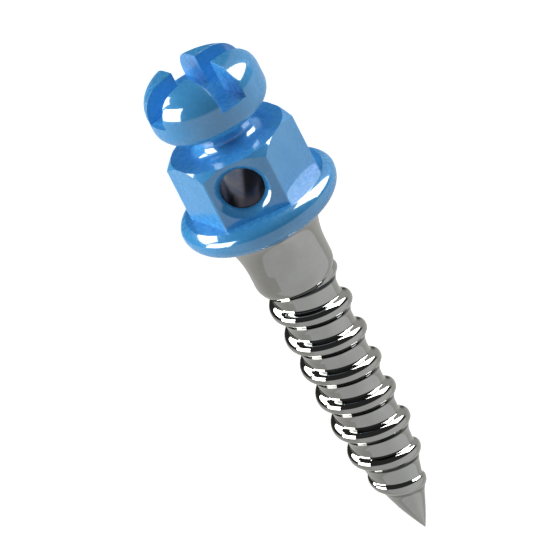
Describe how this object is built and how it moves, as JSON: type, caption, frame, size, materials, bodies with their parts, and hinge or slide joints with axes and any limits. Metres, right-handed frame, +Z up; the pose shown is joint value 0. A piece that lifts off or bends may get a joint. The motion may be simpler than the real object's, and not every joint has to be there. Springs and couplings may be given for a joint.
{
  "type": "orthodontic mini screw",
  "caption": "One-piece temporary anchorage screw: threaded shank with a sharp point, smooth flared neck, round collar, hex with a ligature hole, and a button head with crossed wire slots.",
  "frame": {"origin": "centre of the bounding box's underside, on the surface that the screw lies on", "axes": "+X along the screw from its point towards its head, which lies higher than the point; +Z up from the surface; +Y to the side"},
  "size_m": [0.0112, 0.0032, 0.0032],
  "materials": {
    "mini_screw": "polished titanium, with the collar, hex and head anodised blue"
  },
  "bodies": {
    "root": {"mini_screw": "mini_screw"}
  },
  "joints": []
}
